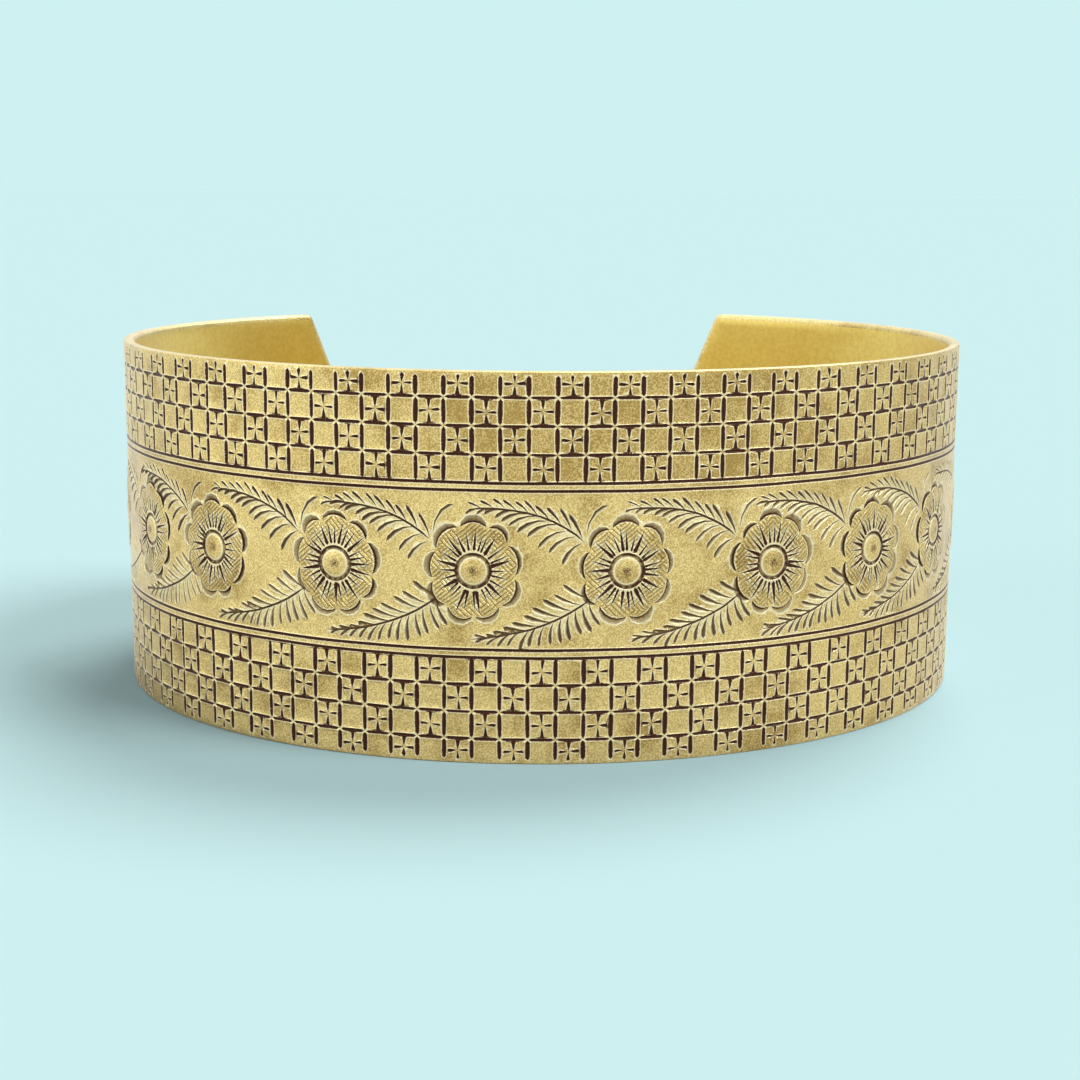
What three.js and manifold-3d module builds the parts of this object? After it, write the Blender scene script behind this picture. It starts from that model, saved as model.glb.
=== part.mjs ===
// A one-piece cuff bracelet: a strip of patterned brass sheet with clipped corners,
// bent into an open oval that stands on its lower rim.
//
// The strip is modelled flat and then bent. A point on the flat strip has three coordinates:
//   s  along the strip, from its middle
//   z  up the strip, from its lower rim
//   h  out of the strip, from the outer face
// Millimetres, +Z up, +X to the right, the gap at the back (+Y).

import * as THREE from 'three';
import { mergeVertices } from 'three/addons/utils/BufferGeometryUtils.js';
import Module from 'manifold-3d';

// The bent cuff
const outsideWidth = 63.0;
const outsideDepth = 57.0;
const bandHeight = 25.4;
const wall = 0.8;

// The strip it is cut from, tip to tip along the outer face, and its clipped corners
const stripLength = 156.0;
const cornerRun = 3.0;
const cornerRise = 7.0;

// Check borders along both rims: plain raised pads alternate with sunk cells
const cellPitch = 1.8;
const rimRowHeight = 1.65;
const rowHeight = 1.8;
const fullRows = 3;
const reliefDepth = 0.12;
const padBevel = 0.12;

// A fine bead with a groove on each side parts the borders from the flowers
const beadPitch = 0.5;
const grooveWidth = 0.22;

// Flowers struck along the middle, spaced by hand
const patternShift = 2.4;
const flowerPitch = 9.6;
const flowerDrift = [
  { flower: -4, drift: 0.6 },
  { flower: -3, drift: -0.5 },
  { flower: -2, drift: 0.1 },
  { flower: -1, drift: -0.2 },
  { flower: 1, drift: 0.6 },
  { flower: 3, drift: -0.6 },
];
const petals = 9;
const petalTipRadius = 3.05;
const petalNotchRadius = 2.7;
const petalShoulder = 0.3;
const petalRaise = 0.12;
const bossRadius = 0.98;
const bossHeight = 0.2;
const bossShoulder = { radiusShare: 0.7, heightShare: 0.8 };

// How deep each flower's solid reaches into the wall that it is one with
const flowerRoot = 0.4;

// How far the cutting blocks that clip the corners reach past the strip
const cutMargin = 1.0;

const rimToBead = rimRowHeight + fullRows * rowHeight;
const midHeight = bandHeight / 2;

// The outer face's oval, run from the middle of the gap round the front and back to it
const oval = new THREE.EllipseCurve(
  0, 0, outsideWidth / 2, outsideDepth / 2, Math.PI / 2, Math.PI * 5 / 2);
oval.arcLengthDivisions = 4000;
const ovalLength = oval.getLength();

// Carries a point of the flat strip to its place on the bent cuff.
function bend(s, z, h) {
  const along = THREE.MathUtils.clamp(0.5 + s / ovalLength, 0, 1);
  const point = oval.getPointAt(along);
  const tangent = oval.getTangentAt(along);
  return new THREE.Vector3(point.x + tangent.y * h, point.y - tangent.x * h, z);
}

// A closed surface gathered face by face on the flat strip, then bent.
class StripSurface {
  constructor() {
    this.points = [];
    this.faces = [];
  }

  point(s, z, h) {
    this.points.push([s, z, h]);
    return this.points.length - 1;
  }

  // One polygon as a fan of triangles, its corners counter-clockwise seen from outside.
  face(...corners) {
    for (let k = 1; k < corners.length - 1; k += 1) {
      this.faces.push(corners[0], corners[k], corners[k + 1]);
    }
  }

  solid(wasm) {
    const vertProperties = new Float32Array(
      this.points.flatMap(([s, z, h]) => bend(s, z, h).toArray()));
    const triVerts = new Uint32Array(this.faces);
    return new wasm.Manifold(new wasm.Mesh({ numProp: 3, vertProperties, triVerts }));
  }
}

// The heights of one upright line of points on the strip, from the lower rim to the upper one.
// kind says what a height is: a row's edge, the bead's crest, its groove or the panel's edge.
function uprightLine() {
  const lower = [{ kind: 'row', z: 0 }];
  for (let row = 0; row <= fullRows; row += 1) {
    lower.push({ kind: 'row', z: rimRowHeight + row * rowHeight });
  }
  lower.push({ kind: 'crest', z: rimToBead + beadPitch / 2 });
  lower.push({ kind: 'groove', z: rimToBead + beadPitch });
  lower.push({ kind: 'panel', z: rimToBead + beadPitch + grooveWidth / 2 });
  const upper = lower.map(({ kind, z }) => ({ kind, z: bandHeight - z })).reverse();
  return [...lower, ...upper];
}

// The patterned strip as a plain rectangle, longer than it will be, with its pads and beads.
function patternedStrip(wasm) {
  const surface = new StripSurface();
  const heights = uprightLine();
  const top = heights.length - 1;
  const reach = stripLength / 2 + cellPitch;
  const firstLine = Math.floor((-reach - patternShift) / cellPitch);
  const lastLine = Math.ceil((reach - patternShift) / cellPitch);
  const lines = [];
  for (let i = firstLine; i <= lastLine; i += 1) {
    const s = patternShift + (i - 0.5) * cellPitch;
    const raised = i === firstLine || i === lastLine ? [] : ['crest', 'panel'];
    const outerHeight = (kind) => (raised.includes(kind) ? 0 : -reliefDepth);
    lines.push({
      s,
      cell: i,
      outer: heights.map(({ kind, z }) => surface.point(s, z, outerHeight(kind))),
      inner: [surface.point(s, 0, -wall), surface.point(s, bandHeight, -wall)],
    });
  }

  for (let i = 0; i < lines.length - 1; i += 1) {
    const left = lines[i];
    const right = lines[i + 1];
    const lowerRim = [left.outer[0], left.inner[0], right.inner[0], right.outer[0]];
    const upperRim = [right.outer[top], right.inner[1], left.inner[1], left.outer[top]];
    for (let k = 0; k < top; k += 1) {
      const corners = [left.outer[k], right.outer[k], right.outer[k + 1], left.outer[k + 1]];
      const isCell = heights[k].kind === 'row' && heights[k + 1].kind === 'row';
      if (!isCell || !isPlainPad(left.cell, k, top)) {
        surface.face(...corners);
        continue;
      }
      const pad = raisedPad(surface, corners, k === 0, k === top - 1);
      if (k === 0) lowerRim.push(pad[1], pad[0]);
      if (k === top - 1) upperRim.push(pad[3], pad[2]);
    }
    closeRim(surface, lowerRim);
    closeRim(surface, upperRim);
    surface.face(right.inner[0], left.inner[0], left.inner[1], right.inner[1]);
  }

  // The two ends of the blank are plain upright cuts, closed as fans from a lower inner corner
  const { outer: start, inner: startInner } = lines[0];
  surface.face(startInner[0], ...start, startInner[1]);
  const { outer: finish, inner: finishInner } = lines[lines.length - 1];
  surface.face(finishInner[0], finishInner[1], ...[...finish].reverse());
  return surface.solid(wasm);
}

// Plain pads and starred cells alternate along each row and from row to row. Above the middle
// flower the uppermost cell is starred, and below it the lowest one.
function isPlainPad(cell, k, top) {
  const row = k < top / 2 ? k : top - 1 - k;
  return Math.abs(cell + row) % 2 === 1;
}

// A pad raised to the outer face inside the four corners of its cell, with sloping sides.
// At a rim it runs out to the edge.
function raisedPad(surface, corners, atLowerRim, atUpperRim) {
  const [left, low] = surface.points[corners[0]];
  const [right, high] = surface.points[corners[2]];
  const padLow = atLowerRim ? low : low + padBevel;
  const padHigh = atUpperRim ? high : high - padBevel;
  const pad = [
    surface.point(left + padBevel, padLow, 0),
    surface.point(right - padBevel, padLow, 0),
    surface.point(right - padBevel, padHigh, 0),
    surface.point(left + padBevel, padHigh, 0),
  ];
  surface.face(...pad);
  surface.face(corners[1], corners[2], pad[2], pad[1]);
  surface.face(corners[3], corners[0], pad[0], pad[3]);
  if (!atLowerRim) surface.face(corners[0], corners[1], pad[1], pad[0]);
  if (!atUpperRim) surface.face(corners[2], corners[3], pad[3], pad[2]);
  return pad;
}

// One stretch of a rim: four corners, and the pad's two where a pad runs out to the edge.
function closeRim(surface, ring) {
  surface.face(...ring.slice(0, 4));
  if (ring.length > 4) surface.face(ring[0], ring[3], ring[4], ring[5]);
}

// What is cut away beyond one end of the strip, so that its two corners are clipped.
function endOffcut(wasm, side) {
  const tip = stripLength / 2;
  const beyond = tip + cellPitch * 2 + cutMargin;
  const shoulder = tip - cornerRun - cutMargin * (cornerRun / cornerRise);
  const outline = new THREE.Shape([
    new THREE.Vector2(shoulder, -cutMargin),
    new THREE.Vector2(beyond, -cutMargin),
    new THREE.Vector2(beyond, bandHeight + cutMargin),
    new THREE.Vector2(shoulder, bandHeight + cutMargin),
    new THREE.Vector2(tip, bandHeight - cornerRise),
    new THREE.Vector2(tip, cornerRise),
  ]);
  const thickness = wall + bossHeight + 2 * cutMargin;
  const block = new THREE.ExtrudeGeometry(outline, { depth: thickness, bevelEnabled: false });
  const place = block.getAttribute('position');
  const mirrored = side < 0;
  for (let k = 0; k < place.count; k += 1) {
    const s = side * place.getX(k);
    const h = place.getZ(k) - wall - cutMargin;
    const bent = bend(s, place.getY(k), h);
    place.setXYZ(k, bent.x, bent.y, bent.z);
  }
  return solidOf(wasm, block, mirrored);
}

// A three.js geometry as a solid, its faces turned round where its points were mirrored.
function solidOf(wasm, geometry, turnFaces) {
  const bare = new THREE.BufferGeometry();
  bare.setAttribute('position', geometry.getAttribute('position'));
  bare.setIndex(geometry.index);
  const merged = mergeVertices(bare, 1e-4);
  const triVerts = new Uint32Array(merged.index.array);
  if (turnFaces) triVerts.reverse();
  const vertProperties = merged.getAttribute('position').array;
  return new wasm.Manifold(new wasm.Mesh({ numProp: 3, vertProperties, triVerts }));
}

// One flower: a disc with a scalloped edge, a throat round its middle and a domed boss.
function flowerSolid(wasm, middle) {
  const surface = new StripSurface();
  const at = (angle, radius, h) => surface.point(
    middle + radius * Math.cos(angle), midHeight + radius * Math.sin(angle), h);
  const petalTurn = (Math.PI * 2) / petals;

  // Each petal's edge has a notch and two shoulders
  const edge = [];
  const starts = [];
  for (let petal = 0; petal < petals; petal += 1) {
    const start = petal * petalTurn;
    starts.push(start);
    edge.push({ angle: start, radius: petalNotchRadius });
    edge.push({ angle: start + petalTurn * petalShoulder, radius: petalTipRadius });
    edge.push({ angle: start + petalTurn * (1 - petalShoulder), radius: petalTipRadius });
  }
  const root = edge.map(({ angle, radius }) => at(angle, radius, -flowerRoot));
  const rim = edge.map(({ angle, radius }) => at(angle, radius, petalRaise));
  const boss = starts.map((angle) => at(angle, bossRadius, 0));
  const shoulder = starts.map((angle) => at(
    angle, bossRadius * bossShoulder.radiusShare, bossHeight * bossShoulder.heightShare));
  const crown = at(0, 0, bossHeight);
  const under = at(0, 0, -flowerRoot);

  for (let k = 0; k < edge.length; k += 1) {
    const next = (k + 1) % edge.length;
    surface.face(root[k], root[next], rim[next], rim[k]);
    surface.face(under, root[next], root[k]);
  }
  for (let k = 0; k < petals; k += 1) {
    const next = (k + 1) % petals;
    const [notch, left, right] = rim.slice(k * 3, k * 3 + 3);
    surface.face(boss[k], notch, left);
    surface.face(boss[k], left, right, boss[next]);
    surface.face(boss[next], right, rim[next * 3]);
    surface.face(shoulder[k], boss[k], boss[next], shoulder[next]);
    surface.face(crown, shoulder[k], shoulder[next]);
  }
  return surface.solid(wasm);
}

// Where each flower sits along the strip, end to end.
function flowerMiddles() {
  const last = Math.ceil((stripLength / 2 + petalTipRadius) / flowerPitch);
  const middles = [];
  for (let flower = -last; flower <= last; flower += 1) {
    const row = flowerDrift.find((entry) => entry.flower === flower);
    const middle = patternShift + flower * flowerPitch + (row ? row.drift : 0);
    if (Math.abs(middle) < stripLength / 2 + petalTipRadius) middles.push(middle);
  }
  return middles;
}

// The whole cuff as one solid, moved so that the middle of its footprint is at the origin.
function cuffGeometry(wasm) {
  let solid = patternedStrip(wasm);
  for (const middle of flowerMiddles()) solid = solid.add(flowerSolid(wasm, middle));
  for (const side of [-1, 1]) solid = solid.subtract(endOffcut(wasm, side));

  const mesh = solid.getMesh();
  const geometry = new THREE.BufferGeometry();
  geometry.setAttribute('position', new THREE.BufferAttribute(mesh.vertProperties, 3));
  geometry.setIndex(new THREE.BufferAttribute(mesh.triVerts, 1));
  geometry.computeBoundingBox();
  const middle = geometry.boundingBox.getCenter(new THREE.Vector3());
  geometry.translate(-middle.x, -middle.y, 0);
  geometry.computeVertexNormals();
  return geometry;
}

const wasm = await Module();
wasm.setup();

const brass = new THREE.MeshStandardMaterial({
  color: new THREE.Color(0.74, 0.62, 0.33),
  metalness: 1.0,
  roughness: 0.42,
  flatShading: true,
});

const cuffBand = new THREE.Mesh(cuffGeometry(wasm), brass);
cuffBand.name = 'cuff_band';

const cuffBracelet = new THREE.Group();
cuffBracelet.add(cuffBand);

export default cuffBracelet;
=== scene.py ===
# %% [markdown]
# # A chased brass cuff
#
# The real bracelet is one strip of brass sheet. A pattern is rolled and chased into the flat
# strip, its corners are clipped, and it is bent into an open oval. Dark patina stays in the cuts
# and the high places are rubbed bright. This script makes it in the same order: it lays out the
# pattern on a flat strip, cuts it into the surface, bends the strip, then adds finish and light.

import functools
import math

import bpy
import numpy as np
from mathutils import Matrix, Vector
from mathutils.geometry import delaunay_2d_cdt


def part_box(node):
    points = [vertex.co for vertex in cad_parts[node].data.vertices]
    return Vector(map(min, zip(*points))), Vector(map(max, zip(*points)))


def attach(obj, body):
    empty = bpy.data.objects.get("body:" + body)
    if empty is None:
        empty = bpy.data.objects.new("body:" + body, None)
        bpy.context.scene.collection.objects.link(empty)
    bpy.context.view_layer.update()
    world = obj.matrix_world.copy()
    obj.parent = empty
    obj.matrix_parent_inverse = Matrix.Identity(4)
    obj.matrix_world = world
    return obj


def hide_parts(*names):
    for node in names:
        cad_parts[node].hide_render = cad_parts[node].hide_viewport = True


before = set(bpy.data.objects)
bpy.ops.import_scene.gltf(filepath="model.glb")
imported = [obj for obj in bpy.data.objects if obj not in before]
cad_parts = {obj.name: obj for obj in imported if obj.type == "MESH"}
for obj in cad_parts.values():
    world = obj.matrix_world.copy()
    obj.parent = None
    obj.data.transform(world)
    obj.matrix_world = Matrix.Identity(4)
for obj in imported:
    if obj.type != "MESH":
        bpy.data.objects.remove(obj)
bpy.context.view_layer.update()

# %% [markdown]
# ## The flat strip and the bend
#
# A point on the strip has three coordinates in millimetres: s along it from its middle, z up it
# from its lower rim, and h out of it from the outer face. Bending is then a function of s alone.
# The oval is an ellipse, and an ellipse has no simple formula for its length, so the length is
# added up once in small steps and looked up from then on.

# %% Sizes of the strip and the oval, in millimetres
MM = 0.001
OUTSIDE_WIDTH = 63.0
OUTSIDE_DEPTH = 57.0
BAND_HEIGHT = 25.4
WALL = 0.8
STRIP_LENGTH = 156.0
CORNER_RUN = 3.0
CORNER_RISE = 7.0
MID_HEIGHT = BAND_HEIGHT / 2
BOSS_RADIUS = 0.98
BOSS_HEIGHT = 0.2
BOSS_DIMPLE = 0.62
PATTERN_SHIFT = 2.4
FLOWER_PITCH = 9.6
FLOWER_DRIFT = {-4: 0.6, -3: -0.5, -2: 0.1, -1: -0.2, 1: 0.6, 3: -0.6}
PETAL_REACH = 3.05

FLOWER_MIDDLES = np.array(
    [PATTERN_SHIFT + k * FLOWER_PITCH + FLOWER_DRIFT.get(k, 0.0) for k in range(-9, 10)]
)
FLOWER_MIDDLES = FLOWER_MIDDLES[np.abs(FLOWER_MIDDLES) < STRIP_LENGTH / 2 + PETAL_REACH]
print("flowers:", len(FLOWER_MIDDLES), "at", np.round(FLOWER_MIDDLES, 1).tolist())

# %% Bend the strip round the oval
TURN = np.linspace(-math.pi, math.pi, 20001)
STEP_LENGTH = np.hypot(
    np.diff(OUTSIDE_WIDTH / 2 * np.sin(TURN)), np.diff(OUTSIDE_DEPTH / 2 * np.cos(TURN))
)
RUN = np.concatenate([[0.0], np.cumsum(STEP_LENGTH)])
RUN -= RUN[len(RUN) // 2]


def bend(s, z, h):
    """The ellipse's point at arc length s from the front, moved out by h along the normal.
    On the ellipse x = a sin t, y = -b cos t the outward normal is along (b sin t, -a cos t)."""
    turn = np.interp(s, RUN, TURN)
    a, b = OUTSIDE_WIDTH / 2, OUTSIDE_DEPTH / 2
    out_x, out_y = b * np.sin(turn), -a * np.cos(turn)
    size = np.hypot(out_x, out_y)
    x = a * np.sin(turn) + h * out_x / size
    y = -b * np.cos(turn) + h * out_y / size
    return np.stack([x, y, z + 0.0 * x], axis=-1)


# %% Find where the frame put the oval's middle
# The bosses stand furthest out, so their crowns set the sides and the front.
crowns = bend(FLOWER_MIDDLES, MID_HEIGHT, BOSS_HEIGHT)
crowns = crowns[np.abs(FLOWER_MIDDLES) < STRIP_LENGTH / 2]
middle_x = (crowns[:, 0].min() + crowns[:, 0].max()) / 2
band_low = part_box("cuff_band")[0]
OVAL_MIDDLE = np.array([-middle_x, band_low.y / MM - crowns[:, 1].min(), 0.0])
print("oval's middle in the frame, mm:", np.round(OVAL_MIDDLE, 3).tolist())

# %% [markdown]
# ## What a cut is
#
# Each mark is one stroke of a graver: it enters, widens, deepens and runs out. So every cut is
# stored the same way, as a line of points with a width to each side and a depth at each point.
# Its floor is a V. A little metal is pushed up along both lips, and they are painted brighter,
# partly for wear and partly as a painted highlight. Each kind of cut also says how much patina it
# holds: steep ones hold it all, and wide slopes much less. Where one slope of a cut is darker than
# the other, that is painted shade.
# All the cuts of one kind are one set of arrays, so a thousand take no more code than one.

# %% Keep cuts together in sets
hand = np.random.default_rng(11)
LIP_REACH = 0.065
LIP_RISE = 0.024
STEEP = 0.55
EDGE_GAP = 0.15
EDGE_START = 0.25
STROKE_SPREAD = 0.2
cut_sets = []


def end_reach(z):
    """How far along the strip the outline is at height z: its tip, less the clipped corners."""
    low = np.clip((CORNER_RISE - z) / CORNER_RISE, 0, 1)
    high = np.clip((z - BAND_HEIGHT + CORNER_RISE) / CORNER_RISE, 0, 1)
    return STRIP_LENGTH / 2 - CORNER_RUN * (low + high)


def unsteady(shape, reach):
    """Small even offsets, so that no two strokes are quite alike."""
    return hand.uniform(-reach, reach, shape)


def hand_widths(widths, count, spread):
    """Half-widths of count strokes, each stroke a little wider or slimmer."""
    return widths * (1 + unsteady((count, 1), spread))


def cut_outline(spine, left, right):
    """Points round each cut: both lips, a ring LIP_REACH outside them, and one past each tip."""
    along = np.gradient(spine, axis=1)
    along /= np.linalg.norm(along, axis=2, keepdims=True)
    aside = np.stack([-along[..., 1], along[..., 0]], axis=2)
    lines = [spine + aside * left[..., None], spine - aside * right[..., None],
             spine + aside * (left + LIP_REACH)[..., None],
             spine - aside * (right + LIP_REACH)[..., None]]
    tips = [spine[:, :1] - along[:, :1] * LIP_REACH, spine[:, -1:] + along[:, -1:] * LIP_REACH]
    return [line[:, 1:-1] for line in lines] + tips, aside


def on_strip(points, gap):
    """Whether each point is on the strip and at least about gap from its outline."""
    s, z = points[..., 0], points[..., 1]
    return (np.abs(s) < end_reach(z) - 1.1 * gap) & (z > gap) & (z < BAND_HEIGHT - gap)


def add_cuts(kind, spine, left, right=None, depth=None, patina_and_painted_shade=(1.0, 1.0), shelf=0.0, fenced=False):
    """Keeps the cuts that lie wholly on the strip. spine is (cuts, points, 2) in s and z. right
    and depth are the left width and STEEP times it unless given. The pair after depth is the patina
    on the left and right slopes, and where one is darker than the other that is painted shade.
    shelf adds a row of points at that share of the right slope. fenced keeps the ring outside the
    lips as edges too, so that a long straight cut has narrow lips."""
    count, points = spine.shape[:2]
    right = left if right is None else right
    depth = left * STEEP if depth is None else depth
    left, right, depth = (np.broadcast_to(w, (count, points)).copy() for w in (left, right, depth))
    around = np.concatenate(cut_outline(spine, left, right)[0], axis=1)
    kept = on_strip(around, EDGE_GAP).all(axis=1)
    cut_sets.append((spine[kept], left[kept], right[kept], depth[kept], patina_and_painted_shade, shelf, fenced))
    print(kind, int(kept.sum()), "cuts of", points, "points")


def straight(start, end, shares):
    """Points at the given shares of the way from start to end, for many lines at once."""
    return start[:, None, :] + (end - start)[:, None, :] * np.asarray(shares)[None, :, None]


# %% [markdown]
# ## The check borders
#
# Both borders are four rows of square checks. The side of each check is a cut of its own, a
# slim lens that runs out just before the crossing and leaves a small bright cross there. Every
# other check has a star of four tapering cuts that nearly meet in its middle.

# %% Lay out the checks
CELL_PITCH = 1.8
BORDER_HEIGHT = 7.05
ROW_EDGES = np.array([0.0, 1.65, 3.45, 5.25, BORDER_HEIGHT])

row_low = np.concatenate([ROW_EDGES[:-1], BAND_HEIGHT - ROW_EDGES[1:]])
row_high = np.concatenate([ROW_EDGES[1:], BAND_HEIGHT - ROW_EDGES[:-1]])
cells = np.arange(-46, 46)
cell, row = (grid.ravel() for grid in np.meshgrid(cells, np.arange(len(row_low)), indexing="ij"))
check_left = PATTERN_SHIFT + (cell - 0.5) * CELL_PITCH
check_low, check_high = row_low[row], row_high[row]
check_middle = np.stack([PATTERN_SHIFT + cell * CELL_PITCH, (check_low + check_high) / 2], axis=1)
starred = (cell + row) % 2 == 0
print("checks:", len(check_left), "of them starred:", int(starred.sum()))

# %% Cut the sides of the checks
UPRIGHT_WIDTHS = 0.18 * np.array([0.0, 0.85, 1.0, 0.88, 0.0])
UPRIGHT_WOBBLE, UPRIGHT_SPREAD = 0.02, 0.14
LEVEL_WIDTHS = 0.125 * np.array([0.0, 0.95, 0.95, 0.0])
LEVEL_WOBBLE, LEVEL_SPREAD = 0.015, 0.15
CROSSING_GAP = 0.04

low_end = np.where(check_low == 0, EDGE_START, check_low + CROSSING_GAP)
high_end = np.where(check_high == BAND_HEIGHT, BAND_HEIGHT - EDGE_START, check_high - CROSSING_GAP)
count = len(check_left)
start = np.stack([check_left + unsteady(count, UPRIGHT_WOBBLE), low_end], axis=1)
end = np.stack([check_left + unsteady(count, UPRIGHT_WOBBLE), high_end], axis=1)
width = hand_widths(UPRIGHT_WIDTHS, count, UPRIGHT_SPREAD)
spine = straight(start, end, [0.0, 0.12, 0.5, 0.88, 1.0])
add_cuts("check sides, upright:", spine, width, fenced=True)

cell_left = PATTERN_SHIFT + (cells - 0.5) * CELL_PITCH
level_z = np.concatenate([ROW_EDGES[1:-1], BAND_HEIGHT - ROW_EDGES[1:-1]])
s, z = (grid.ravel() for grid in np.meshgrid(cell_left, level_z, indexing="ij"))
start = np.stack([s + CROSSING_GAP, z + unsteady(len(s), LEVEL_WOBBLE)], axis=1)
end = np.stack([s + CELL_PITCH - CROSSING_GAP, z + unsteady(len(s), LEVEL_WOBBLE)], axis=1)
width = hand_widths(LEVEL_WIDTHS, len(s), LEVEL_SPREAD)
spine = straight(start, end, [0.0, 0.13, 0.87, 1.0])
add_cuts("check sides, level:", spine, width, fenced=True)

# %% Cut the stars
ARM_WIDTHS = 0.15 * np.array([0.0, 1.0, 0.62, 0.0])
SIDE_ARM_WIDTHS = 0.125 * np.array([0.0, 1.0, 0.75, 0.0])
ARM_START, SIDE_ARM_START = 0.1, 0.2
HEART_SHARE = 0.04
HEART_WOBBLE, ARM_WOBBLE, SIDE_ARM_WOBBLE = 0.05, 0.05, 0.08

left, low, high = check_left[starred], check_low[starred], check_high[starred]
count = len(left)
heart = np.stack([left + CELL_PITCH / 2, (low + high) / 2], axis=1)
heart = heart + unsteady((count, 2), HEART_WOBBLE)


def cut_arms(kind, outer, widths, shares):
    """One arm of every star, to just short of the star's heart."""
    inner = heart + (outer - heart) * HEART_SHARE
    add_cuts(kind, straight(outer, inner, shares), hand_widths(widths, count, STROKE_SPREAD))


lower_end = np.maximum(low + ARM_START, EDGE_START)
upper_end = np.minimum(high - ARM_START, BAND_HEIGHT - EDGE_START)
for end_z in (lower_end, upper_end):
    outer = np.stack([heart[:, 0] + unsteady(count, ARM_WOBBLE), end_z], axis=1)
    cut_arms("stars, upright:", outer, ARM_WIDTHS, [0.0, 0.15, 0.55, 1.0])
for end_s in (left + SIDE_ARM_START, left + CELL_PITCH - SIDE_ARM_START):
    outer = np.stack([end_s, heart[:, 1] + unsteady(count, SIDE_ARM_WOBBLE)], axis=1)
    cut_arms("stars, level:", outer, SIDE_ARM_WIDTHS, [0.0, 0.2, 0.6, 1.0])

# %% [markdown]
# ## The ferns
#
# A pair of ferns springs from the left of each flower, one sweeping up and one down, and both
# run on towards the next flower. A fern is a stem with leaves down each side. The stem is a
# quadratic curve. A leaf starts on it, points its own way, bows a little, and is widest near its
# tip. One slope of it is painted darker than the other, a painted shade over its patina. Leaves
# grow shorter away from the flower, so their length and lean are read from short tables along
# the stem.

# %% Draw curves through three control points
LEAF_SHARES = np.array([0.0, 0.3, 0.62, 0.86, 1.0])
LEAF_WIDTHS = np.array([0.0, 0.5, 0.95, 1.0, 0.0])
FULL_LEAF = 1.5


def curve(start, control, end, shares):
    """(1-t)^2 start + 2t(1-t) control + t^2 end, with t the share of the way."""
    t = np.asarray(shares)[..., None]
    return (1 - t) ** 2 * start + 2 * t * (1 - t) * control + t**2 * end


def leaves(stem, shares, leans, lengths, bow, half_width):
    """One side of a fern. Each leaf is a curve from the stem, its middle pushed aside by bow
    times its length. leans, in degrees, and lengths are read evenly along the row of leaves.
    A leaf shorter than FULL_LEAF is slimmer too."""
    step = np.linspace(0, 1, len(shares))
    lean = np.radians(np.interp(step, np.linspace(0, 1, len(leans)), leans))
    length = np.interp(step, np.linspace(0, 1, len(lengths)), lengths)
    root = curve(*stem, shares)
    way = np.stack([np.cos(lean), np.sin(lean)], axis=1)
    aside = np.stack([-way[:, 1], way[:, 0]], axis=1)
    tip = root + way * length[:, None]
    control = root + way * length[:, None] * 0.5 + aside * (2 * bow * length)[:, None]
    spine = curve(root[:, None], control[:, None], tip[:, None], LEAF_SHARES[None, :])
    slim = np.clip(length / FULL_LEAF, 0.6, 1.1)[:, None]
    return spine, half_width * LEAF_WIDTHS[None, :] * slim


# %% Cut the ferns beside every flower
# Each row of leaves has its stem, the leaves' places on it, leans, lengths, bow, half-width and
# the patina on either slope, one slope painted darker than the other as painted shade.
UPPER_STEM = [np.array(p) for p in ((-2.65, 1.8), (-5.4, 4.45), (-10.4, 3.95))]
LOWER_STEM = [np.array(p) for p in ((-2.25, -1.75), (-5.2, -4.1), (-10.2, -4.5))]
LEAF_ROWS = [
    (UPPER_STEM, 0.03 + 0.85 * np.linspace(0, 1, 10) ** 0.85, (117, 126, 135, 142, 158),
     (1.85, 1.45, 1.35, 1.2, 1.0), -0.05, 0.14, (0.95, 0.25)),
    (UPPER_STEM, np.linspace(0.02, 0.88, 11), (224, 204, 197, 194, 193),
     (2.05, 2.35, 2.0, 1.6, 1.2), -0.13, 0.155, (0.25, 0.9)),
    (LOWER_STEM, np.linspace(0.01, 0.84, 10), (151, 161, 171, 176, 174),
     (1.95, 2.1, 1.9, 1.5, 1.1), 0.06, 0.175, (0.25, 0.85)),
    (LOWER_STEM, np.linspace(0.03, 0.84, 13), (298, 276, 254, 232, 202),
     (1.85, 1.8, 1.5, 1.3, 1.2), -0.09, 0.16, (0.85, 0.25)),
]
LEAF_WOBBLE, LEAF_TIP_WOBBLE = 0.05, 0.12
RIGHT_SHARE = 0.8

places = np.stack([FLOWER_MIDDLES, np.full(len(FLOWER_MIDDLES), MID_HEIGHT)], axis=1)
for *leaf_row, patina_and_painted_shade in LEAF_ROWS:
    spine, width = leaves(*leaf_row)
    shape = (len(places), len(spine), 1, 2)
    many = spine[None] + places[:, None, None, :]
    many = many + unsteady(shape, LEAF_WOBBLE)
    many = many + unsteady(shape, LEAF_TIP_WOBBLE) * LEAF_SHARES[None, None, :, None]
    many = many.reshape(-1, len(LEAF_SHARES), 2)
    wide = hand_widths(np.tile(width, (len(places), 1)), len(many), STROKE_SPREAD)
    add_cuts("fern leaves:", many, wide, wide * RIGHT_SHARE, patina_and_painted_shade=patina_and_painted_shade)

# %% Cut the stems and the small curl above them
STEM_SHARES = np.linspace(0, 1, 10)
STEM_WIDTHS = 0.085 * np.array([0, 0.95, 1, 1, 0.95, 0.9, 0.85, 0.8, 0.7, 0])
STEM_WOBBLE = 0.02
CURL = [np.array(p) for p in ((-2.62, 2.2), (-2.5, 4.0), (-1.2, 4.3))]
CURL_HALF_WIDTH = 0.12
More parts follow.
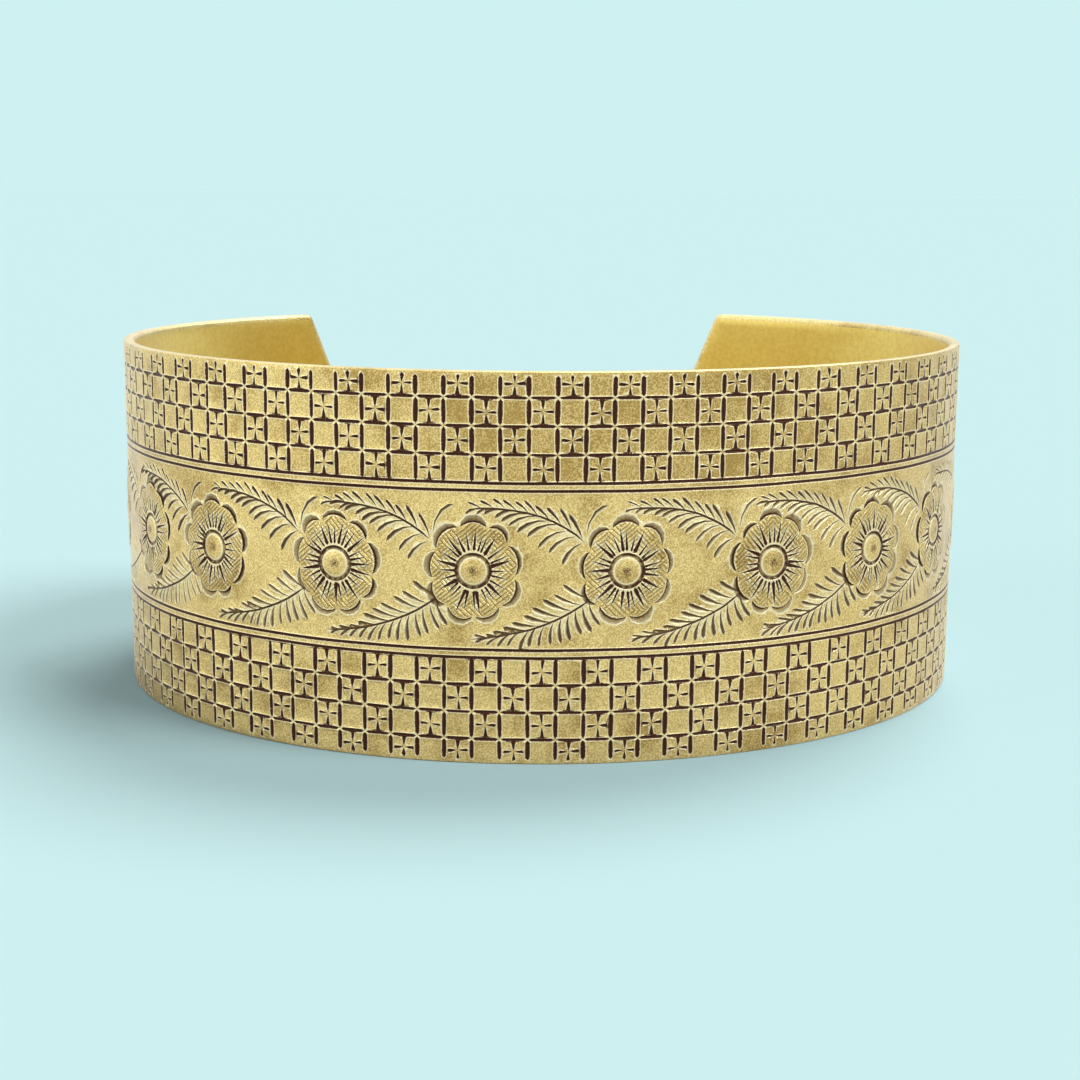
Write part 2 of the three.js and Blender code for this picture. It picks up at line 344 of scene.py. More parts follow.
# Each stem's and curl's right slope is painted lighter than its left: painted shade over the patina.
for kind, line in (("upper", UPPER_STEM), ("lower", LOWER_STEM)):
    spine = curve(*line, STEM_SHARES)[None] + places[:, None, :]
    spine = spine + unsteady(spine.shape, STEM_WOBBLE)
    add_cuts(f"{kind} stems:", spine, STEM_WIDTHS, patina_and_painted_shade=(0.95, 0.85))
spine = curve(*CURL, LEAF_SHARES)[None] + places[:, None, :]
spine = spine + unsteady((len(places), 1, 2), LEAF_WOBBLE)
add_cuts("curls:", spine, CURL_HALF_WIDTH * LEAF_WIDTHS, patina_and_painted_shade=(0.85, 0.5))

# %% [markdown]
# ## The flowers
#
# A flower is nine petals, each set off by a crescent cut with a steep wall on the petal's side
# and a long slope away from it. Dark darts run out from a ring round the domed boss. Radii are
# a little more upright than across, as on the struck flower. The petals' own outline is kept
# as a function of the angle, because the height of the metal is read from it as well.

# %% Give each flower its own petals
PETALS = 9
NOTCH_RADIUS = 2.72
TIP_RADIUS = 3.08
PETAL_BLUNTNESS = 2.4
FIRST_NOTCH = math.radians(-8)
NOTCH_WANDER, TIP_WANDER = 0.085, 0.11
ACROSS_SHARE = 0.955
UPRIGHT_SHARE = 1.06
notch_angles = FIRST_NOTCH + 2 * math.pi / PETALS * np.arange(PETALS)[None, :]
notch_angles = notch_angles + unsteady((len(places), PETALS), NOTCH_WANDER)
tip_radii = TIP_RADIUS + unsteady((len(places), PETALS), TIP_WANDER)
print("petals:", notch_angles.size)


def petal_edge(flower, angle):
    """The outline's radius at each angle, and how far across its petal the angle is, from -1
    to 1. From notch to notch the radius rises and falls as 1 - |across|^2.4."""
    notches = notch_angles[flower]
    turned = (angle - notches[0]) % (2 * math.pi)
    bounds = np.append(notches - notches[0], 2 * math.pi)
    petal = np.clip(np.searchsorted(bounds, turned, side="right") - 1, 0, PETALS - 1)
    across = 2 * (turned - bounds[petal]) / (bounds[petal + 1] - bounds[petal]) - 1
    rise = tip_radii[flower][petal] - NOTCH_RADIUS
    return NOTCH_RADIUS + rise * (1 - np.abs(across) ** PETAL_BLUNTNESS), across


def flower_point(flower, angle, radius):
    """A place on the strip from a flower's own angle and radius, with its upright stretch."""
    stretched = np.stack([ACROSS_SHARE * np.cos(angle), UPRIGHT_SHARE * np.sin(angle)], axis=-1)
    return places[flower] + stretched * np.asarray(radius)[..., None]


# %% Cut the crescents round the petals
CRESCENT_SHARES = np.array([0.0, 0.12, 0.3, 0.5, 0.7, 0.88, 1.0])
CRESCENT_OUTER = np.array([0.0, 0.5, 0.9, 1.0, 0.9, 0.5, 0.0])
CRESCENT_REACH = (0.26, 0.48)
CRESCENT_FOOT = 0.08 * np.array([0, 0.8, 1, 1, 1, 0.8, 0])
CRESCENT_DEPTH = 0.09 * np.array([0, 0.75, 1, 1, 1, 0.75, 0])
NOTCH_GAP = 0.03
spines, outers = [], []
for flower, notches in enumerate(notch_angles):
    for first, last in zip(notches, np.append(notches[1:], notches[0] + 2 * math.pi)):
        angle = first + NOTCH_GAP + (last - first - 2 * NOTCH_GAP) * CRESCENT_SHARES
        spines.append(flower_point(flower, angle, petal_edge(flower, angle)[0]))
        outers.append(CRESCENT_OUTER * hand.uniform(*CRESCENT_REACH))
# The long outer slope is painted about half as dark as the steep wall: partly patina, partly painted
# shadow.
add_cuts("crescents:", np.array(spines), CRESCENT_FOOT, np.array(outers), CRESCENT_DEPTH,
         patina_and_painted_shade=(1.0, 0.55), shelf=0.3)

# %% Cut the darts round each boss
DARTS = 28
DART_START = 1.2
DART_SHARES = [0.0, 0.08, 0.5, 1.0]
DART_WIDTHS = np.array([0.0, 1.0, 0.6, 0.0])
STRONG_REACH, WEAK_REACH, REACH_WANDER = 2.8, 2.5, 0.22
STRONG_HALF_WIDTH, WEAK_HALF_WIDTH = 0.145, 0.095
DART_SWING, DART_SKEW = 0.22, 0.04
starts, ends, strong = [], [], []
for flower in range(len(places)):
    angle = 2 * math.pi * (np.arange(DARTS) + unsteady(DARTS, DART_SWING)) / DARTS
    is_strong = np.arange(DARTS) % 3 == flower % 3
    reach = np.where(is_strong, STRONG_REACH, WEAK_REACH) + unsteady(DARTS, REACH_WANDER)
    starts.append(flower_point(flower, angle, DART_START))
    ends.append(flower_point(flower, angle + unsteady(DARTS, DART_SKEW), reach))
    strong.append(is_strong)
strong = np.concatenate(strong)
widths = np.where(strong, STRONG_HALF_WIDTH, WEAK_HALF_WIDTH)[:, None] * DART_WIDTHS
spine = straight(np.concatenate(starts), np.concatenate(ends), DART_SHARES)
add_cuts("darts:", spine, hand_widths(widths, len(strong), STROKE_SPREAD))

# %% [markdown]
# ## Heights
#
# The height of the metal at any place is the plain surface there, less the deepest cut over it,
# plus what the lips push up. The plain surface is level, with the petals lying a little above
# it and a dome for each boss. Working the height out from the place alone keeps the layout and
# the mesh apart: wherever a point of the mesh falls, it gets the right height.

# %% The plain surface: petals, bosses and beads
BEAD_CREST, BEAD_TOP = 7.3, 7.55
BEAD_LINES = np.array([BORDER_HEIGHT, BEAD_TOP, BAND_HEIGHT - BEAD_TOP, BAND_HEIGHT - BORDER_HEIGHT])
BEAD_HALF_WIDTH = 0.115
BEAD_DEPTH = 0.065
CREST_RISE, CREST_REACH = 0.02, 0.15
RING_INNER, RING_MIDDLE, RING_OUTER = 0.9, 1.05, 1.2
RING_DEPTH = 0.08
FLOWER_SPAN = 3.4
PETAL_RISE, PETAL_FALL = 0.07, 0.28
PETAL_PILLOW, PILLOW_RUN = 0.04, 0.8
PETAL_START, HATCHING_RUN = 1.3, 0.5
DOME_FLATNESS, DOME_FULLNESS = 2.6, 0.8
DIMPLE_DEPTH = 0.04


def line_wander(s, line):
    """A bead line's slow wander: two slight waves along the strip."""
    return 0.012 * np.sin(0.21 * s + 1.7 * line) + 0.008 * np.sin(0.83 * s + line)


def plain_height(s, z):
    """Bosses: H (1 - (r/R)^2.6)^0.8, less a shallow dimple. Petals: a level top that falls
    smoothly to the outline, and bulges across each petal. Returns the height and where the
    petals are."""
    height, petal_share = np.zeros_like(s), np.zeros_like(s)
    for flower, (middle, mid_z) in enumerate(places):
        near = np.abs(s - middle) < FLOWER_SPAN
        across, up = (s[near] - middle) / ACROSS_SHARE, (z[near] - mid_z) / UPRIGHT_SHARE
        radius, angle = np.hypot(across, up), np.arctan2(up, across)
        edge, over = petal_edge(flower, angle)
        fall = np.clip((edge - radius) / PETAL_FALL, 0, 1)
        top = fall * fall * (3 - 2 * fall)
        bulge = np.cos(over * math.pi / 2) * np.clip((radius - PETAL_START) / PILLOW_RUN, 0, 1)
        true_radius = np.hypot(s[near] - middle, z[near] - mid_z)
        crown = np.clip(1 - (true_radius / BOSS_RADIUS) ** DOME_FLATNESS, 0, 1)
        dome = BOSS_HEIGHT * crown**DOME_FULLNESS
        dome -= DIMPLE_DEPTH * np.clip(1 - true_radius / BOSS_DIMPLE, 0, 1)
        inside = true_radius < BOSS_RADIUS
        height[near] = np.where(inside, dome, PETAL_RISE * top + PETAL_PILLOW * bulge * top)
        hatched = np.clip((radius - PETAL_START) / HATCHING_RUN, 0, 1) * top
        petal_share[near] = np.where(inside, 0.0, hatched)
    crest = np.minimum(np.abs(z - BEAD_CREST), np.abs(z - BAND_HEIGHT + BEAD_CREST))
    height += CREST_RISE * np.clip(1 - (crest / CREST_REACH) ** 2, 0, 1)
    return height, petal_share


# %% How deep the cuts are, and where their lips lie
# A boss is marked like a cut: its ring is dark, less so on the boss's side, its shoulder gets a
# painted highlight through the lip mark, and a little patina stays on its crown.
LAST_WIDTH = 0.03
PATINA_AND_PAINTED_SHADE_END = 1.02
LIP_END_DEPTH = 0.04
RING_STAINS = (0.55, 1.0)
SHOULDER_RADIUS, SHOULDER_REACH, SHOULDER_PAINTED_HIGHLIGHT = 0.86, 0.14, 0.6
CROWN_RADIUS, CROWN_CUT, CROWN_STAIN = 0.5, 0.24, 0.8


def across_cut(distance, width, depth, patina_and_painted_shade):
    """A V: full depth on the line, none at the lip. The lip mark is 1 on the lip and fades to
    the line on one side and over LIP_REACH on the other; in the finish it brightens the lip, partly
    for wear and partly as a painted highlight. The inner mark is 1 on the line and 0 at the lip.
    The patina, with any painted shade, goes out to the lip. Marks fade where a cut is under
    LAST_WIDTH."""
    width = np.maximum(width, 1e-4)
    over = distance / width
    tip = np.clip(width / LAST_WIDTH, 0, 1)
    deep = depth * np.clip(1 - over, 0, 1)
    lip = np.where(distance > width, 1 - (distance - width) / LIP_REACH, over)
    inner = np.clip(1 - over, 0, 1)
    return deep, np.clip(lip, 0, 1) * tip, inner * tip, patina_and_painted_shade * (over < PATINA_AND_PAINTED_SHADE_END)


def one_cut(s, z, spine, left, right, depth, patina_and_painted_shade):
    """Each point's nearest place on every stretch of the spine, then the V there."""
    start, way = spine[:-1], np.diff(spine, axis=0)
    rel_s, rel_z = s[:, None] - start[:, 0], z[:, None] - start[:, 1]
    share = (rel_s * way[:, 0] + rel_z * way[:, 1]) / (way**2).sum(axis=1)
    share = np.clip(share, 0, 1)
    distance = np.hypot(rel_s - share * way[:, 0], rel_z - share * way[:, 1])
    is_left = way[:, 0] * rel_z - way[:, 1] * rel_s > 0
    width = np.where(is_left, left[:-1] + share * np.diff(left), right[:-1] + share * np.diff(right))
    slope_patina_and_painted_shade = np.where(distance < 1e-5, max(patina_and_painted_shade), np.where(is_left, *patina_and_painted_shade))
    marks = across_cut(distance, width, depth[:-1] + share * np.diff(depth), slope_patina_and_painted_shade)
    return [mark.max(axis=1) for mark in marks]


def cut_marks(s, z):
    """At every point: the deepest cut over it, its lip and inner marks, and its patina with any
    painted shade. Points are sorted by s once, so each cut only looks at the few that lie beside it."""
    order = np.argsort(s)
    s_in_order, z_in_order = s[order], z[order]
    marks = np.zeros((4, len(s)))
    for spines, lefts, rights, depths, patina_and_painted_shade, _, _ in cut_sets:
        reach = np.maximum(lefts.max(axis=1), rights.max(axis=1)) + LIP_REACH
        low, high = spines.min(axis=1) - reach[:, None], spines.max(axis=1) + reach[:, None]
        first = np.searchsorted(s_in_order, low[:, 0])
        last = np.searchsorted(s_in_order, high[:, 0])
        for k in range(len(spines)):
            span = slice(first[k], last[k])
            beside = (z_in_order[span] > low[k, 1]) & (z_in_order[span] < high[k, 1])
            index = first[k] + np.flatnonzero(beside)
            found = one_cut(s_in_order[index], z_in_order[index],
                            spines[k], lefts[k], rights[k], depths[k], patina_and_painted_shade)
            marks[:, index] = np.maximum(marks[:, index], found)
    marks[:, order] = marks.copy()
    for line, level in enumerate(BEAD_LINES):
        off = np.abs(z - level - line_wander(s, line))
        marks = np.maximum(marks, across_cut(off, BEAD_HALF_WIDTH, BEAD_DEPTH, 1.0))
    for middle, mid_z in places:
        radius = np.hypot(s - middle, z - mid_z)
        patina_and_painted_shade = np.where(radius < RING_MIDDLE, *RING_STAINS)
        off = np.abs(radius - RING_MIDDLE)
        ring = across_cut(off, RING_OUTER - RING_MIDDLE, RING_DEPTH, patina_and_painted_shade)
        # The boss's shoulder gets a painted highlight through the lip mark.
        shoulder = np.clip(1 - np.abs(radius - SHOULDER_RADIUS) / SHOULDER_REACH, 0, 1)
        crown = np.clip(1 - radius / CROWN_RADIUS, 0, 1)
        boss = [0 * crown, SHOULDER_PAINTED_HIGHLIGHT * shoulder, CROWN_CUT * crown, CROWN_STAIN * (crown > 0)]
        marks = np.maximum(np.maximum(marks, ring), boss)
    deep, lip, inner, patina_and_painted_shade = marks
    return deep, lip * np.clip(1 - deep / LIP_END_DEPTH, 0, 1), inner, patina_and_painted_shade


# %% [markdown]
# ## The mesh of the outer face
#
# A regular grid fine enough for cuts 0.1 mm wide would need tens of millions of faces. Instead
# the points go where the shape is: along the floor and both lips of each cut, and sparsely in
# between. A constrained Delaunay triangulation then joins them, and keeps each floor and lip as
# an edge of the mesh, so that every cut is crisp.

# %% Gather points and the edges to keep
gathered_points, gathered_edges = [], []


def gather(points, edges=None):
    """Adds points, and edges as pairs of their own indices."""
    base = sum(len(p) for p in gathered_points)
    gathered_points.append(np.asarray(points, float).reshape(-1, 2))
    if edges is not None:
        gathered_edges.append(np.asarray(edges).reshape(-1, 2) + base)
    return base


def angles(count, first=0.0):
    """Even steps round a circle, the first of them that many steps on from zero."""
    return (np.arange(count) + first) * 2 * math.pi / count


def on_circle(angle):
    """Points on a circle of radius 1."""
    return np.stack([np.cos(angle), np.sin(angle)], axis=-1)


def gather_cuts(spine, left, right, shelf, fenced):
    """Each cut's floor and outline. The floor and both lips stay as edges of the mesh."""
    count, n = spine.shape[:2]
    outline, aside = cut_outline(spine, left, right)
    block = np.concatenate([spine, *outline], axis=1)
    floor = np.arange(n)
    left_lip = np.concatenate([[0], n + np.arange(n - 2), [n - 1]])
    right_lip = np.concatenate([[0], 2 * n - 2 + np.arange(n - 2), [n - 1]])
    chains = [floor, left_lip, right_lip]
    if fenced:
        chains += [3 * n - 4 + np.arange(n - 2), 4 * n - 6 + np.arange(n - 2)]
    pairs = np.concatenate([np.stack([c[:-1], c[1:]], axis=1) for c in chains])
    offsets = np.arange(count)[:, None, None] * block.shape[1]
    gather(block, pairs[None] + offsets)
    if shelf:
        gather((spine - aside * shelf * right[..., None])[:, 1:-1])


for spine, left, right, _, _, shelf, fenced in cut_sets:
    gather_cuts(spine, left, right, shelf, fenced)
print("points from cuts:", sum(len(p) for p in gathered_points))

# %% Add the bead lines and the rings round the bosses
BEAD_POINTS = 175
BEAD_END_GAP = 0.6
BEAD_STAGGER = 0.4
RING_POINTS = 32
DOME_RINGS = ((0.3, 8), (0.55, 14), (0.74, 20), (0.86, 26), (0.94, 32))

bead_end = STRIP_LENGTH / 2 - BEAD_END_GAP
bead_s = np.linspace(-bead_end, bead_end, BEAD_POINTS)
chain = np.stack([np.arange(BEAD_POINTS - 1), np.arange(1, BEAD_POINTS)], axis=1)
for line, level in enumerate(BEAD_LINES):
    wander = level + line_wander(bead_s, line)
    for offset in (0.0, BEAD_HALF_WIDTH, -BEAD_HALF_WIDTH):
        gather(np.stack([bead_s, wander + offset], axis=1), chain)
    for offset in (BEAD_HALF_WIDTH + LIP_REACH, -BEAD_HALF_WIDTH - LIP_REACH):
        gather(np.stack([bead_s + BEAD_STAGGER, wander + offset], axis=1)[:-1], chain[:-1])
for level in (BEAD_CREST, BAND_HEIGHT - BEAD_CREST):
    gather(np.stack([bead_s, np.full_like(bead_s, level)], axis=1))

step = np.arange(RING_POINTS)
ring_chain = np.stack([step, (step + 1) % RING_POINTS], axis=1)
whole = np.abs(places[:, 0]) < STRIP_LENGTH / 2 - RING_OUTER - 2 * EDGE_GAP
for middle in places[whole]:
    gather(middle)
    for radius, count in DOME_RINGS:
        gather(middle + radius * on_circle(angles(count, 0.5)))
    for radius in (RING_INNER, RING_MIDDLE, RING_OUTER):
        gather(middle + radius * on_circle(angles(RING_POINTS)), ring_chain)
print("points so far:", sum(len(p) for p in gathered_points))

# %% Fill in between, clear of the cuts
PANEL_STEP = 0.75
PANEL_SQUEEZE = 0.98
PANEL_LOW, PANEL_HIGH = 7.9, BAND_HEIGHT - 7.85
PAD_REACH = 0.4
PETAL_RINGS = ((1.5, 18), (1.8, 22), (2.15, 26), (2.45, 30))
PETAL_EDGE_POINTS = 54
PETAL_EDGE_INSETS = (0.27, 0.14)

grid_s = np.arange(-STRIP_LENGTH / 2, STRIP_LENGTH / 2, PANEL_STEP)
grid_z = np.arange(PANEL_LOW, PANEL_HIGH, PANEL_STEP * PANEL_SQUEEZE)
grid = np.stack(np.meshgrid(grid_s, grid_z, indexing="ij"), axis=2)
grid[:, ::2, 0] += PANEL_STEP / 2
pad_offsets = PAD_REACH * np.array([(-1, -1), (1, -1), (1, 1), (-1, 1), (0, 0)])
fill = [grid.reshape(-1, 2), (check_middle[:, None] + pad_offsets[None]).reshape(-1, 2)]
for flower in range(len(places)):
    for radius, count in PETAL_RINGS:
        fill.append(flower_point(flower, angles(count, 0.5), radius))
    angle = angles(PETAL_EDGE_POINTS)
    for inset in PETAL_EDGE_INSETS:
        fill.append(flower_point(flower, angle, petal_edge(flower, angle)[0] - inset))
fill = np.concatenate(fill)
fill = fill[on_strip(fill, 2 * EDGE_GAP)]
deep, lip, _, _ = cut_marks(fill[:, 0], fill[:, 1])
gather(fill[(deep < 1e-6) & (lip < 1e-6)])
print("points in all:", sum(len(p) for p in gathered_points))

# %% [markdown]
# ## The rim
#
# Sheared and filed sheet has softly rounded edges, and they catch the light all round the cuff.
# The outline is a loop, so the rim is a profile carried along that loop: it starts on the outer
# face just inside the outline, rolls over, crosses the wall, and rolls on to the inner face,
# more gently there, because that edge meets the skin. The clipped corners are rounded by the
# same file, so each is a short arc in every copy of the loop.

# %% The outline as a loop, at any distance in from the edge
CORNER_ROUND = 0.7
FACE_INSET = 0.12
INNER_INSET = 0.42
LOOP_STEP = 0.62
tip, shoulder = STRIP_LENGTH / 2, STRIP_LENGTH / 2 - CORNER_RUN
OUTLINE = np.array([
    (-shoulder, 0.0), (shoulder, 0.0), (tip, CORNER_RISE), (tip, BAND_HEIGHT - CORNER_RISE),
    (shoulder, BAND_HEIGHT), (-shoulder, BAND_HEIGHT), (-tip, BAND_HEIGHT - CORNER_RISE),
    (-tip, CORNER_RISE),
])


def outline_loop(inset):
    """Each corner is an arc about a middle that lies CORNER_ROUND in from both its sides, of
    radius CORNER_ROUND less inset. Straight stretches join the arcs. Counter-clockwise."""
    before = OUTLINE - np.roll(OUTLINE, 1, axis=0)
    after = np.roll(before, -1, axis=0)
    before /= np.linalg.norm(before, axis=1, keepdims=True)
    after /= np.linalg.norm(after, axis=1, keepdims=True)
    out_before = np.stack([before[:, 1], -before[:, 0]], axis=1)
    out_after = np.stack([after[:, 1], -after[:, 0]], axis=1)
    between = out_before + out_after
    between /= (out_before * between).sum(axis=1, keepdims=True)
    middle = OUTLINE - CORNER_ROUND * between
    first = np.arctan2(out_before[:, 1], out_before[:, 0])
    turn = (np.arctan2(out_after[:, 1], out_after[:, 0]) - first + 2 * math.pi) % (2 * math.pi)
    angle = first[:, None] + turn[:, None] * np.linspace(0, 1, 4)[None]
    arcs = middle[:, None] + (CORNER_ROUND - inset) * on_circle(angle)
    stretches = []
    for k, arc in enumerate(arcs):
        onward = arcs[(k + 1) % len(arcs)][0]
        count = int(round(np.linalg.norm(OUTLINE[(k + 1) % len(arcs)] - OUTLINE[k]) / LOOP_STEP))
        share = np.linspace(0, 1, count + 1)[1:-1, None]
        stretches += [arc, arc[-1] + (onward - arc[-1]) * share]
    return np.concatenate(stretches)


face_edge = outline_loop(FACE_INSET)
LOOP_COUNT = len(face_edge)
print("outline points:", LOOP_COUNT)

# %% Join the outer face
FLAT_AREA = 1e-4


def triangulate(points, edges, loop_at):
    """Delaunay triangles of the points that keep the edges and stay inside the closed loop,
    which is LOOP_COUNT points from loop_at on. Triangles of no area, which join three points
    of one straight side, are dropped. Returns places, triangles and the loop's new indices."""
    loop = list(range(loop_at, loop_at + LOOP_COUNT))
    places_out, _, faces, origins, _, _ = delaunay_2d_cdt(
        [Vector(p) for p in points.tolist()], edges, [loop], 1, 1e-5, True
    )
    new_index = {old: new for new, olds in enumerate(origins) for old in olds}
    places_out = np.array([tuple(p) for p in places_out])
    faces = np.array(faces)
    a, b, c = (places_out[faces[:, k]] for k in range(3))
    area = (b[:, 0] - a[:, 0]) * (c[:, 1] - a[:, 1]) - (b[:, 1] - a[:, 1]) * (c[:, 0] - a[:, 0])
    faces[area < 0] = faces[area < 0][:, ::-1]
    loop = np.array([new_index[old] for old in loop])
    on_loop = np.isin(faces, loop).all(axis=1)
    return places_out, faces[~on_loop | (np.abs(area) > FLAT_AREA)], loop


loop_at = gather(face_edge)
all_points = np.concatenate(gathered_points)
all_edges = np.concatenate(gathered_edges).tolist()
outer_places, outer_faces, outer_loop = triangulate(all_points, all_edges, loop_at)
print("outer face:", len(outer_places), "points,", len(outer_faces), "triangles")

# %% Join the plain inner face
INNER_STEP = 1.3
grid_s = np.arange(-STRIP_LENGTH / 2, STRIP_LENGTH / 2, INNER_STEP)
grid_z = np.arange(1.0, BAND_HEIGHT - 0.5, INNER_STEP)
grid = np.stack(np.meshgrid(grid_s, grid_z, indexing="ij"), axis=2).reshape(-1, 2)
grid = grid[on_strip(grid, 2 * INNER_INSET)]
inner_points = np.concatenate([outline_loop(INNER_INSET), grid])
inner_places, inner_faces, inner_loop = triangulate(inner_points, [], 0)
print("inner face:", len(inner_faces), "triangles")

# %% Heights of the outer face, and the marks that the finish reads
outer_s, outer_z = outer_places[:, 0], outer_places[:, 1]
base_height, petal_mark = plain_height(outer_s, outer_z)
deep, lip_mark, inner_mark, patina_and_painted_shade_mark = cut_marks(outer_s, outer_z)
outer_h = base_height - deep + LIP_RISE * lip_mark
print("heights, mm:", round(float(outer_h.min()), 3), "to", round(float(outer_h.max()), 3))

# %% Put the faces and the rim together
RIM_PROFILE = [
    (0.06, -0.015), (0.015, -0.055), (0.0, -0.13), (0.0, -0.48), (0.05, -0.62), (0.18, -0.74),
]
flat = [np.column_stack([outer_places, outer_h])]
rings = [outer_loop]
inner_at = len(outer_places)
for inset, height in RIM_PROFILE:
    flat.append(np.column_stack([outline_loop(inset), np.full(LOOP_COUNT, height)]))
    rings.append(inner_at + np.arange(LOOP_COUNT))
    inner_at += LOOP_COUNT
flat.append(np.column_stack([inner_places, np.full(len(inner_places), -WALL)]))
flat = np.concatenate(flat)
rings.append(inner_at + inner_loop)
rim_faces = []
for ring, below in zip(rings[:-1], rings[1:]):
    ring_next, below_next = np.roll(ring, -1), np.roll(below, -1)
    rim_faces.append(np.stack([ring_next, ring, below], axis=1))
    rim_faces.append(np.stack([ring_next, below, below_next], axis=1))
rim_faces = np.concatenate(rim_faces)
faces = np.concatenate([outer_faces, rim_faces, inner_at + inner_faces[:, ::-1]])
print("cuff:", len(flat), "points,", len(faces), "triangles")

pairs = np.sort(np.concatenate([faces[:, [0, 1]], faces[:, [1, 2]], faces[:, [2, 0]]]), axis=1)
uses = np.unique(pairs, axis=0, return_counts=True)[1]
print("edges without just two triangles:", int((uses != 2).sum()))

# %% Make the bent mesh
CREASE = math.radians(26)
RIM_PAINTED_HIGHLIGHT = 0.25
DARK_REFLECTION_MIDDLE, DARK_REFLECTION_REACH = 2.0, 16.0
STRIP_SCALE = 0.01
bent = (bend(flat[:, 0], flat[:, 1], flat[:, 2]) + OVAL_MIDDLE) * MM
cuff_mesh = bpy.data.meshes.new("cuff_band")
cuff_mesh.from_pydata(bent.tolist(), [], faces.tolist())

# The front of the upper border is painted darker than the rest, a painted dark reflection, and
# the rim is painted a little paler, a painted highlight.
painted_dark_reflection_mark = np.exp(-(((outer_s - DARK_REFLECTION_MIDDLE) / DARK_REFLECTION_REACH) ** 2))
painted_dark_reflection_mark[outer_z <= BAND_HEIGHT - BORDER_HEIGHT] = 0.0
marks = {
    "cut": inner_mark, "patina_and_painted_shade": patina_and_painted_shade_mark, "painted_dark_reflection": painted_dark_reflection_mark, "lip": lip_mark, "petal": petal_mark,
}
for name, outer_mark in marks.items():
    values = np.zeros(len(flat), np.float32)
    values[: len(outer_mark)] = outer_mark
    # The rim's rings get a faint painted highlight through the lip mark.
    values[len(outer_mark):inner_at] = RIM_PAINTED_HIGHLIGHT * (name == "lip")
    cuff_mesh.attributes.new(name, "FLOAT", "POINT").data.foreach_set("value", values)

strip_map = cuff_mesh.uv_layers.new(name="strip")
corner_places = flat[faces.ravel(), :2] * STRIP_SCALE
strip_map.data.foreach_set("uv", corner_places.astype(np.float32).ravel())
cuff_mesh.shade_smooth()
cuff_mesh.set_sharp_from_angle(angle=CREASE)
cuff_mesh.validate()

cuff = bpy.data.objects.new("chased_cuff", cuff_mesh)
bpy.context.scene.collection.objects.link(cuff)
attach(cuff, "root")
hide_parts("cuff_band")
print("marks:", list(marks))

# %% [markdown]
# ## The finish
#
# The brass is satin: fine enough grain to blur what it reflects, coarse enough to see close up.
# Patina lies in the cuts and thins out towards the lips, which are painted bright, partly for wear
# and partly as a painted highlight. The boss shoulders and the rim get a painted highlight too, some
# cuts have painted shade on one slope, and the front of the upper border is painted darker, a
# painted dark reflection. The depth of the cuts is stored on the mesh, so the patina follows them
# exactly. A thin wax shines only where it is seen at a slant, so the cuff pales towards its sides.
# The outside and the plain inside are the same metal: what they share is in node groups, and each
# material gives its own values. The inside's deeper, more saturated brass is partly painted, for
# the light that bounces about inside the oval.

# %% Small helpers for node trees
def feed(tree, socket, value):
    """Gives a socket its value, or links it if the value is a socket."""
    if hasattr(value, "is_output"):
        tree.links.new(value, socket)
    else:
        socket.default_value = value


def node(tree, kind, settings=None, **inputs):
    """Adds a node, with settings as properties and inputs as what feeds its sockets."""
    made = tree.nodes.new(kind)
    for name, value in (settings or {}).items():
        setattr(made, name, value)
    for name, value in inputs.items():
        feed(tree, made.inputs[name], value)
    return made


def math_node(tree, operation, first, second, clamp=False):
    """One sum on two values, each a number or a socket."""
    made = node(tree, "ShaderNodeMath", {"operation": operation, "use_clamp": clamp})
    feed(tree, made.inputs[0], first)
    feed(tree, made.inputs[1], second)
    return made.outputs[0]


def mix_colour(tree, factor, first, second):
    """A colour between two, each a colour or a socket."""
    made = node(tree, "ShaderNodeMix", {"data_type": "RGBA"})
    for index, value in ((0, factor), (6, first), (7, second)):
        feed(tree, made.inputs[index], value)
    return made.outputs[2]


def ramp(tree, value, low, high):
    """Rises smoothly from 0 at low to 1 at high."""
    sockets = {"Value": value, "From Min": low, "From Max": high}
    made = node(tree, "ShaderNodeMapRange", {"interpolation_type": "SMOOTHSTEP"}, **sockets)
    return made.outputs["Result"]


def new_group(name, inputs, outputs):
    """An empty shader group with its named inputs' values and its named outputs' kinds."""
    group = bpy.data.node_groups.new(name, "ShaderNodeTree")
    for label, value in inputs.items():
        kind = "NodeSocketFloat" if isinstance(value, float) else "NodeSocketColor"
        group.interface.new_socket(label, in_out="INPUT", socket_type=kind).default_value = value
    for label, kind in outputs.items():
        group.interface.new_socket(label, in_out="OUTPUT", socket_type=f"NodeSocket{kind}")
    return group, group.nodes.new("NodeGroupInput").outputs, group.nodes.new("NodeGroupOutput").inputs


# %% Group: satin grain
grain_group, given, put_out = new_group(
    "satin_grain",
    {"Grain size": 6500.0, "Pitting": 0.5},
    {"Height": "Float", "Speckle": "Float", "Mottle": "Float"},
)
place = node(grain_group, "ShaderNodeTexCoord").outputs["Object"]
kind = "ShaderNodeTexNoise"
fine = node(grain_group, kind, Vector=place, Scale=given["Grain size"], Detail=2.0, Roughness=0.6)
pits = node(grain_group, kind, Vector=place, Scale=2300.0, Detail=2.0, Roughness=0.55)
patches = node(grain_group, kind, Vector=place, Scale=260.0, Detail=4.0, Roughness=0.6)
fine, pits, patches = (noise.outputs["Fac"] for noise in (fine, pits, patches))
pit_height = math_node(grain_group, "MULTIPLY", pits, given["Pitting"])
feed(grain_group, put_out["Height"], math_node(grain_group, "ADD", fine, pit_height))
feed(grain_group, put_out["Speckle"], fine)
feed(grain_group, put_out["Mottle"], patches)
print("group:", grain_group.name)

